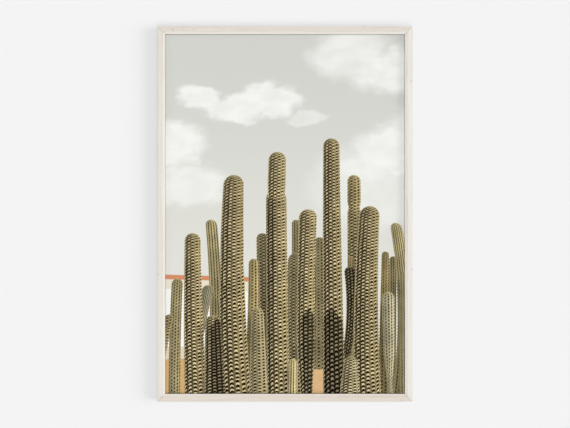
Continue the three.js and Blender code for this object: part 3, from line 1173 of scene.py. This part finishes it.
@dataclass
class ArtPrint:
    """The printed sheet of paper: the picture on its front, plain paper on its back and edges."""

    effects: SurfaceEffects
    picture: Picture = Picture()
    cockle: float = 0.05 * MM

    def build(self) -> None:
        """Builds the sheet with a faint cockle and a UV map that runs over its face from 0 to 1."""
        low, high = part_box("print")
        built = slab(low, high, 0.05 * MM, (24, 1, 36))
        layer = built.loops.layers.uv.new("Sheet")
        size = high - low
        built.normal_update()
        for face in built.faces:
            printed = face.normal.y < -0.9
            face.material_index = 0 if printed else 1
            for loop in face.loops:
                at = loop.vert.co - low
                loop[layer].uv = (at.x / size.x, at.z / size.z)
        for vert in built.verts:
            vert.co.y += self.cockle * noise.noise(vert.co * 7.0)
        paper = PressedBoard(
            "Plain paper", ink(244, 243, 239), ink(232, 230, 224), ink(214, 210, 202), 1500.0, 0.85, 0.02 * MM
        )
        printed_face = self.picture.material(self.effects, (size.x, size.z))
        Piece("printed_sheet", FRAME_BODY, "art_print", ("print",)).make(
            built, [printed_face, paper.material(self.effects)], 30.0
        )


@dataclass
class BackingBoards:
    """The foam board that keeps the print flat, and the hardboard that closes the back."""

    effects: SurfaceEffects
    bow: float = 0.15 * MM

    def build(self) -> None:
        """Builds both boards."""
        foam = PressedBoard(
            "Foam board", ink(242, 241, 236), ink(230, 229, 222), ink(208, 206, 198), 900.0, 0.8, 0.05 * MM
        )
        low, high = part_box("foam_board")
        Piece("foam_core", FRAME_BODY, "foam_board", ("foam_board",)).make(
            slab(low, high, 0.4 * MM, (6, 1, 8)), [foam.material(self.effects)]
        )
        hard = PressedBoard(
            "Hardboard", ink(170, 138, 104), ink(142, 110, 80), ink(98, 72, 50), 1250.0, 0.62, 0.06 * MM
        )
        low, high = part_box("backing_board")
        built = slab(low, high, 0.35 * MM, (12, 1, 16))
        middle = (low + high) / 2
        for vert in built.verts:
            across = (vert.co.x - middle.x) / (high.x - middle.x)
            up = (vert.co.z - middle.z) / (high.z - middle.z)
            vert.co.y -= self.bow * max(0.0, 1 - across * across) * max(0.0, 1 - up * up)
        Piece("hardboard_back", FRAME_BODY, "hardboard", ("backing_board",)).make(
            built, [hard.material(self.effects)]
        )


# --- Fittings on the back ---
def scatter_tree() -> bpy.types.NodeTree:
    """Geometry nodes that set one fitting on each point of a mesh.

    Each copy is turned about Y by the point's own Turn and by a random part of Largest Turn.
    """
    tree = bpy.data.node_groups.new("Set fittings", "GeometryNodeTree")
    takes = {
        "Points": "Geometry", "Fitting": "Object", "Largest Turn": "Float", "Seed": "Int",
        "Material": "Material",
    }
    for name, kind in takes.items():
        tree.interface.new_socket(name, in_out="INPUT", socket_type="NodeSocket" + kind)
    tree.interface.new_socket("Fittings", in_out="OUTPUT", socket_type="NodeSocketGeometry")
    new = tree.nodes.new
    source, sink = new("NodeGroupInput"), new("NodeGroupOutput")
    fitting, points = new("GeometryNodeObjectInfo"), new("GeometryNodeMeshToPoints")
    chance, own_turn = new("FunctionNodeRandomValue"), new("GeometryNodeInputNamedAttribute")
    opposite, total = new("ShaderNodeMath"), new("ShaderNodeMath")
    rotation, placed = new("ShaderNodeCombineXYZ"), new("GeometryNodeInstanceOnPoints")
    realized, dressed = new("GeometryNodeRealizeInstances"), new("GeometryNodeSetMaterial")
    chance.data_type = own_turn.data_type = "FLOAT"
    own_turn.inputs["Name"].default_value = "Turn"
    opposite.operation, total.operation = "MULTIPLY", "ADD"
    opposite.inputs[1].default_value = -1.0
    links = (
        (source, "Fitting", fitting, "Object"),
        (source, "Points", points, "Mesh"),
        (source, "Largest Turn", opposite, 0),
        (opposite, 0, chance, 2),
        (source, "Largest Turn", chance, 3),
        (source, "Seed", chance, "Seed"),
        (own_turn, 0, total, 0),
        (chance, 1, total, 1),
        (total, 0, rotation, "Y"),
        (points, 0, placed, "Points"),
        (fitting, "Geometry", placed, "Instance"),
        (rotation, 0, placed, "Rotation"),
        (placed, 0, realized, 0),
        (realized, 0, dressed, "Geometry"),
        (source, "Material", dressed, "Material"),
        (dressed, 0, sink, 0),
    )
    for start, given, end, taken in links:
        tree.links.new(start.outputs[given], end.inputs[taken])
    return tree


def revolved(profile: Sequence[Point2], segments: int) -> bmesh.types.BMesh:
    """A body turned about Y.

    Args:
        profile: radius and y of each point, from one pole to the other; both poles are on the axis.
        segments: how many steps there are round the axis.

    Returns:
        The new geometry.
    """
    built = bmesh.new()
    start, end = (built.verts.new((0.0, y, 0.0)) for _, y in (profile[0], profile[-1]))
    rings = []
    for radius, y in profile[1:-1]:
        angles = (2 * math.pi * k / segments for k in range(segments))
        rings.append([built.verts.new((radius * math.cos(a), y, radius * math.sin(a))) for a in angles])
    for k in range(segments):
        following = (k + 1) % segments
        built.faces.new((start, rings[0][following], rings[0][k]))
        built.faces.new((end, rings[-1][k], rings[-1][following]))
        for first, second in zip(rings, rings[1:]):
            built.faces.new((first[k], first[following], second[following], second[k]))
    bmesh.ops.recalc_face_normals(built, faces=built.faces)
    return built


class FittingKind(Enum):
    """The small repeated fittings on the back."""

    SCREW = "button_screw"
    NAIL = "hanger_nail"
    BUMPER = "bumper"


@dataclass
class SmallFittings:
    """Screws, nails and bumpers: each kind is one fitting, set at its nodes' places by geometry nodes."""

    effects: SurfaceEffects
    tree: bpy.types.NodeTree = field(default_factory=scatter_tree)
    recess_arm: float = 1.9 * MM
    recess_half: float = 0.42 * MM
    recess_depth: float = 0.85 * MM

    def screw(self, size: Vector) -> bmesh.types.BMesh:
        """A pan-head wood screw with a cross recess and a thread, its head's crown at y = 0."""
        head, shank, head_height = size.x / 2, 1.3 * MM, 1.5 * MM
        length = size.y
        crown_steps, thread_turns = 16, 7
        profile: list[Point2] = [(0.0, 0.0)]
        for k in range(1, crown_steps + 1):
            share = k / crown_steps
            profile.append((head * share, -head_height * 0.8 * share**3.2))
        profile += [(head * 0.97, -head_height), (shank, -head_height - 0.05 * MM)]
        for k in range(thread_turns):
            y = -head_height - (0.3 + k) * 1.25 * MM
            profile += [(shank * 0.8, y), (shank, y - 0.45 * MM), (shank * 0.8, y - 0.9 * MM)]
        profile += [(shank * 0.7, -length + 2.2 * MM), (0.0, -length)]
        built = revolved(profile, 48)
        for vert in built.verts:
            radius = math.hypot(vert.co.x, vert.co.z)
            if vert.co.y < -head_height * 0.9:
                continue
            arm = min(abs(vert.co.x), abs(vert.co.z))
            side = 1.0 - min(1.0, max(0.0, (arm - self.recess_half * 0.6) / (self.recess_half * 0.8)))
            end = 1.0 - min(1.0, max(0.0, (radius - self.recess_arm * 0.85) / (self.recess_arm * 0.3)))
            vert.co.y -= self.recess_depth * side * end * (1.0 - 0.3 * radius / self.recess_arm)
        return built

    def nail(self, size: Vector) -> bmesh.types.BMesh:
        """A short nail with a thin flat head, its crown at y = 0."""
        head, shank = size.x / 2, 0.8 * MM
        profile = [(0.0, 0.0), (head * 0.6, -0.03 * MM), (head * 0.9, -0.12 * MM), (head, -0.3 * MM),
                   (head * 0.96, -0.55 * MM), (shank, -0.62 * MM), (shank, 2.0 * MM - size.y), (0.0, -size.y)]
        return revolved(profile, 32)

    def bumper(self, size: Vector) -> bmesh.types.BMesh:
        """A round felt pad with a soft edge and an uneven face, its face at y = 0."""
        radius, thick = size.x / 2, size.y
        profile: list[Point2] = [(0.0, -0.05 * MM)]
        profile += [(radius * k / 9, -0.05 * MM) for k in range(1, 9)]
        profile += [(radius * 0.95, -0.12 * MM), (radius * 0.99, -0.4 * MM), (radius, -0.9 * MM)]
        profile += [(radius * 0.99, -thick + 0.5 * MM), (radius * 0.97, -thick), (0.0, -thick)]
        built = revolved(profile, 48)
        for vert in built.verts:
            vert.co -= vert.co.normalized() * 0.12 * MM * (0.5 + 0.5 * noise.noise(vert.co * 2600.0))
        return built

    def build(self) -> None:
        """Sets each kind of fitting at the places of its nodes."""
        zinc = PlatedMetal("Zinc-plated screw", ink(206, 208, 210), ink(150, 152, 152), 0.26)
        steel = PlatedMetal("Nail steel", ink(176, 177, 178), ink(120, 118, 114), 0.34)
        felt = PressedBoard(
            "Felt", ink(146, 138, 126), ink(104, 97, 88), ink(170, 162, 150), 2600.0, 0.95, 0.2 * MM, 0.3
        )
        self.set_out(FittingKind.SCREW, self.screw, zinc.material(self.effects), "screw_zinc", 1.5)
        self.set_out(FittingKind.NAIL, self.nail, steel.material(self.effects), "nail_steel", 0.4)
        self.set_out(FittingKind.BUMPER, self.bumper, felt.material(self.effects), "felt", 3.0)

    def set_out(
        self,
        kind: FittingKind,
        shape: Callable[[Vector], bmesh.types.BMesh],
        material: bpy.types.Material,
        slot: str,
        largest_turn: float,
    ) -> None:
        """Builds one kind of fitting at all its places as one piece.

        Args:
            kind: which fitting.
            shape: the function that builds one, given the size of its node.
            material: its finish.
            slot: the record's material slot.
            largest_turn: how far a copy may be turned about its axis at random, in radians.
        """
        nodes = sorted(name for name in frame["nodes"] if name.startswith(kind.value))
        boxes = [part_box(name) for name in nodes]
        one = bpy.data.meshes.new(kind.value)
        geometry = shape(boxes[0][1] - boxes[0][0])
        geometry.to_mesh(one)
        geometry.free()
        one.shade_smooth()
        one.set_sharp_from_angle(angle=math.radians(38))
        pattern = bpy.data.objects.new(kind.value, one)
        points = bpy.data.meshes.new(kind.value + "_places")
        places = [((low.x + high.x) / 2, high.y, (low.z + high.z) / 2) for low, high in boxes]
        points.from_pydata(places, [], [])
        points.attributes.new("Turn", "FLOAT", "POINT")
        set_out = bpy.data.objects.new(kind.value + "s", points)
        bpy.context.collection.objects.link(set_out)
        modifier = set_out.modifiers.new("Set fittings", "NODES")
        modifier.node_group = self.tree
        identifiers = {item.name: item.identifier for item in self.tree.interface.items_tree}
        settings = {"Fitting": pattern, "Largest Turn": largest_turn, "Seed": 11, "Material": material}
        for name, value in settings.items():
            modifier[identifiers[name]] = value
        solid = bpy.data.meshes.new_from_object(
            set_out.evaluated_get(bpy.context.evaluated_depsgraph_get())
        )
        set_out.modifiers.clear()
        set_out.data = solid
        solid.name = set_out.name
        bpy.data.objects.remove(pattern)
        Piece(set_out.name, FRAME_BODY, slot, tuple(nodes)).enter(set_out)


@dataclass
class TurnButtons:
    """The plated steel buttons that hold the back in, each on its own body."""

    effects: SurfaceEffects
    hole: float = 1.7 * MM
    edge: float = 0.3 * MM
    rib_half: float = 1.5 * MM
    rib_rise: float = 0.28 * MM
    around: int = 72

    def build(self) -> None:
        """Builds a button for each turn button's body."""
        finish = PlatedMetal("Zinc plate", ink(198, 200, 200), ink(146, 148, 146), 0.3)
        material = finish.material(self.effects)
        for joint in frame["record"]["behaviour"]["joints"]:
            node = joint["child"]
            low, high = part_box(node)
            pivot = Vector(joint["pos_m"])
            middle = (low + high) / 2
            reach = Vector((middle.x - pivot.x, 0.0, middle.z - pivot.z))
            built = self.button(min(high.x - low.x, high.z - low.z) / 2, 2 * reach.length, high.y - low.y)
            turn = math.atan2(reach.x, reach.z)
            place = Matrix.Translation(Vector((pivot.x, high.y, pivot.z))) @ Matrix.Rotation(turn, 4, "Y")
            bmesh.ops.transform(built, matrix=place, verts=built.verts)
            Piece("pressed_" + node, node, "zinc_plate", (node,)).make(built, [material], 45.0)

    def rim(self, angle: float, radius: float, reach: float) -> float:
        """How far the outline is from the pivot at an angle from +Z, on a strip with two round ends."""
        side, ahead = abs(math.sin(angle)), math.cos(angle)
        if ahead <= 0.0:
            return radius
        flat = radius / max(side, 1e-9)
        if flat * ahead <= reach:
            return flat
        along = reach * ahead
        return along + math.sqrt(max(0.0, radius**2 - (reach * side) ** 2))

    def button(self, radius: float, reach: float, thick: float) -> bmesh.types.BMesh:
        """One button with its hole on the axis and its long end towards +Z; its back is on y = 0.

        Args:
            radius: the radius of its ends.
            reach: the distance between the centres of its ends.
            thick: its thickness.

        Returns:
            The geometry, closed round the hole and the rim.
        """
        rings = 15
        built = bmesh.new()
        layers: list[list[list[bmesh.types.BMVert]]] = []
        for face in (0, 1):
            layer = []
            for k in range(rings + 1):
                share = k / rings
                ring = []
                for step in range(self.around):
                    angle = 2 * math.pi * step / self.around
                    far = self.rim(angle, radius, reach)
                    away = self.hole + (far - self.hole) * share
                    x, z = away * math.sin(angle), away * math.cos(angle)
                    margin = min(away - self.hole, far - away)
                    ease = self.edge * (1.0 - min(1.0, margin / self.edge)) ** 2
                    rib = max(0.0, 1.0 - math.hypot(x, max(0.0, radius - z, z - reach)) / self.rib_half)
                    lift = self.rib_rise * rib * rib * (3 - 2 * rib)
                    y = lift - ease if face == 0 else lift + ease - thick
                    ring.append(built.verts.new((x, y, z)))
                layer.append(ring)
            layers.append(layer)
        back, front = layers
        strips = [(back[k], back[k + 1]) for k in range(rings)]
        strips += [(front[k + 1], front[k]) for k in range(rings)]
        strips += [(back[rings], front[rings]), (front[0], back[0])]
        for first, second in strips:
            for step in range(self.around):
                following = (step + 1) % self.around
                built.faces.new((first[step], first[following], second[following], second[step]))
        bmesh.ops.recalc_face_normals(built, faces=built.faces)
        return built


@dataclass
class PlainFittings:
    """The hanger and the V-nails, whose designed shape is already right and only takes a finish."""

    effects: SurfaceEffects

    def dress(self) -> None:
        """Gives each node its finish."""
        zinc = PlatedMetal("Hanger plate", ink(204, 200, 190), ink(160, 150, 130), 0.3).material(self.effects)
        steel = PlatedMetal("V-nail steel", ink(150, 150, 150), ink(98, 95, 92), 0.38).material(self.effects)
        for name, shape in frame["nodes"].items():
            if name == "sawtooth_hanger" or name.startswith("v_nail"):
                shape.data.materials.clear()
                shape.data.materials.append(zinc if name == "sawtooth_hanger" else steel)
                LOG.info("%s: dressed", name)


# --- Studio ---
@dataclass
class Studio:
    """A pale wall and floor, soft lamps and the camera."""

    view_width: float = 1.425
    lens: float = 85.0
    sensor: float = 36.0
    wall_y: float = 0.4 * MM
    floor_drop: float = 0.62
    reach: float = 5.0
    wall_top: float = 2.4
    floor_glow: float = 0.17
    wall_colour: Colour = ink(243, 243, 243)

    def build(self) -> None:
        """Builds the whole studio."""
        scene = bpy.context.scene
        scene.view_settings.view_transform = "Standard"
        self.world(scene)
        self.wall()
        self.floor()
        self.lamps()
        self.camera(scene)

    def sheet(self, name: str, corners: Sequence[tuple[float, float, float]]) -> bpy.types.Object:
        """A single flat face as a stage object."""
        mesh = bpy.data.meshes.new(name)
        mesh.from_pydata([Vector(corner) for corner in corners], [], [tuple(range(len(corners)))])
        shape = bpy.data.objects.new(name, mesh)
        bpy.context.collection.objects.link(shape)
        return shape

    def plaster(self, name: str, one_sided: bool) -> bpy.types.Material:
        """Smooth pale paint, which can be seen through from behind if it is one-sided."""
        material, kit, shader = new_material(name)
        soft = kit.long_noise(kit.object_place(), (1.5, 1.5, 1.5), 2.0)
        tone = kit.smooth(soft, 0.3, 0.7) * 0.25
        kit.feed(shader.inputs["Base Color"], kit.mix(tone, self.wall_colour, ink(241, 241, 241)))
        shader.inputs["Roughness"].default_value = 0.9
        shader.inputs["Specular IOR Level"].default_value = 0.0
        if one_sided:
            tree = material.node_tree
            clear, sides = kit.node("BsdfTransparent"), kit.node("MixShader")
            facing = kit.node("NewGeometry").outputs["Backfacing"]
            tree.links.new(facing, sides.inputs[0])
            tree.links.new(shader.outputs[0], sides.inputs[1])
            tree.links.new(clear.outputs[0], sides.inputs[2])
            tree.links.new(sides.outputs[0], tree.nodes["Material Output"].inputs["Surface"])
        return material

    def wall(self) -> None:
        """The wall behind the frame, which is clear from its other side."""
        bottom = CAD_BOUNDS[0].z - self.floor_drop
        x, y, top = self.reach, self.wall_y, self.wall_top
        wall = self.sheet("wall", [(-x, y, bottom), (x, y, bottom), (x, y, top), (-x, y, top)])
        wall.data.materials.append(self.plaster("Wall paint", True))
        wall.visible_shadow = False
        wall.visible_diffuse = False
        wall.visible_glossy = False

    def floor(self) -> None:
        """The plain pale floor below the frame."""
        z = CAD_BOUNDS[0].z - self.floor_drop
        r = self.reach
        floor = self.sheet("floor", [(-r, -r, z), (r, -r, z), (r, r, z), (-r, r, z)])
        paint = self.plaster("Floor paint", False)
        shader = paint.node_tree.nodes["Principled BSDF"]
        shader.inputs["Emission Color"].default_value = self.wall_colour
        shader.inputs["Emission Strength"].default_value = self.floor_glow
        floor.data.materials.append(paint)
        floor.visible_shadow = False
        floor.visible_diffuse = False

    def world(self, scene: bpy.types.Scene) -> None:
        """A dim surround that looks pale to the camera and to polished metal."""
        world = bpy.data.worlds.new("Studio")
        scene.world = world
        metal_share, seen_more, base = 0.7, 0.8, 0.08
        world.use_nodes = True
        kit = NodeKit(world.node_tree)
        background = world.node_tree.nodes["Background"]
        path = kit.node("LightPath")
        polished = kit.out(path, "Is Glossy Ray") * metal_share
        seen = kit.math("MAXIMUM", kit.out(path, "Is Camera Ray"), polished)
        background.inputs["Color"].default_value = (1.0, 1.0, 1.0, 1.0)
        kit.feed(background.inputs["Strength"], seen * seen_more + base)

    def sun(self, name: str, towards: tuple[float, float, float], share: float, angle: float) -> None:
        """A soft distant lamp.

        Args:
            name: the lamp's name.
            towards: the way its light travels.
            share: its part of the light on the wall, where 1 shows the wall at its own colour.
            angle: how wide it looks, in degrees.
        """
        way = Vector(towards).normalized()
        light = bpy.data.lights.new(name, "SUN")
        light.energy = share * math.pi / abs(way.y)
        light.angle = math.radians(angle)
        lamp = bpy.data.objects.new(name, light)
        lamp.rotation_euler = way.to_track_quat("-Z", "Y").to_euler()
        lamp.visible_glossy = False
        bpy.context.collection.objects.link(lamp)

    def lamps(self) -> None:
        """A broad frontal fill, a low key from the right, a lift from below, and lamps for back and edges."""
        for name, towards, share, angle in (
            ("front_fill", (0.0, 1.0, 0.0), 0.622, 18.0),
            ("right_key", (-0.865, 0.5, 0.05), 0.18, 36.0),
            ("floor_lift", (-0.08, 0.86, 0.5), 0.13, 30.0),
            ("back_fill", (0.0, -1.0, 0.12), 0.55, 25.0),
            ("left_edge_fill", (0.62, -0.25, -0.74), 0.2, 30.0),
            ("right_edge_fill", (-0.85, -0.3, -0.2), 0.1, 30.0),
        ):
            self.sun(name, towards, share, angle)

    def camera(self, scene: bpy.types.Scene) -> None:
        """A long lens square to the picture, centred on the frame."""
        data = bpy.data.cameras.new("camera")
        data.lens = self.lens
        data.sensor_width = self.sensor
        data.clip_end = 100.0
        low, high = CAD_BOUNDS
        distance = self.view_width / 2 / (self.sensor / 2 / self.lens)
        camera = bpy.data.objects.new("camera", data)
        camera.location = ((low.x + high.x) / 2, low.y - distance, (low.z + high.z) / 2)
        camera.rotation_euler = (math.pi / 2, 0.0, 0.0)
        bpy.context.collection.objects.link(camera)
        scene.camera = camera


def main() -> None:
    """Builds the studio and then the framed print, sub-assembly by sub-assembly."""
    logging.basicConfig(level=logging.INFO, format="%(name)s: %(message)s")
    Studio().build()
    effects = SurfaceEffects()
    WoodenFrame(effects).build()
    Glazing().build()
    ArtPrint(effects).build()
    BackingBoards(effects).build()
    SmallFittings(effects).build()
    TurnButtons(effects).build()
    PlainFittings(effects).dress()


if __name__ == "__main__":
    main()
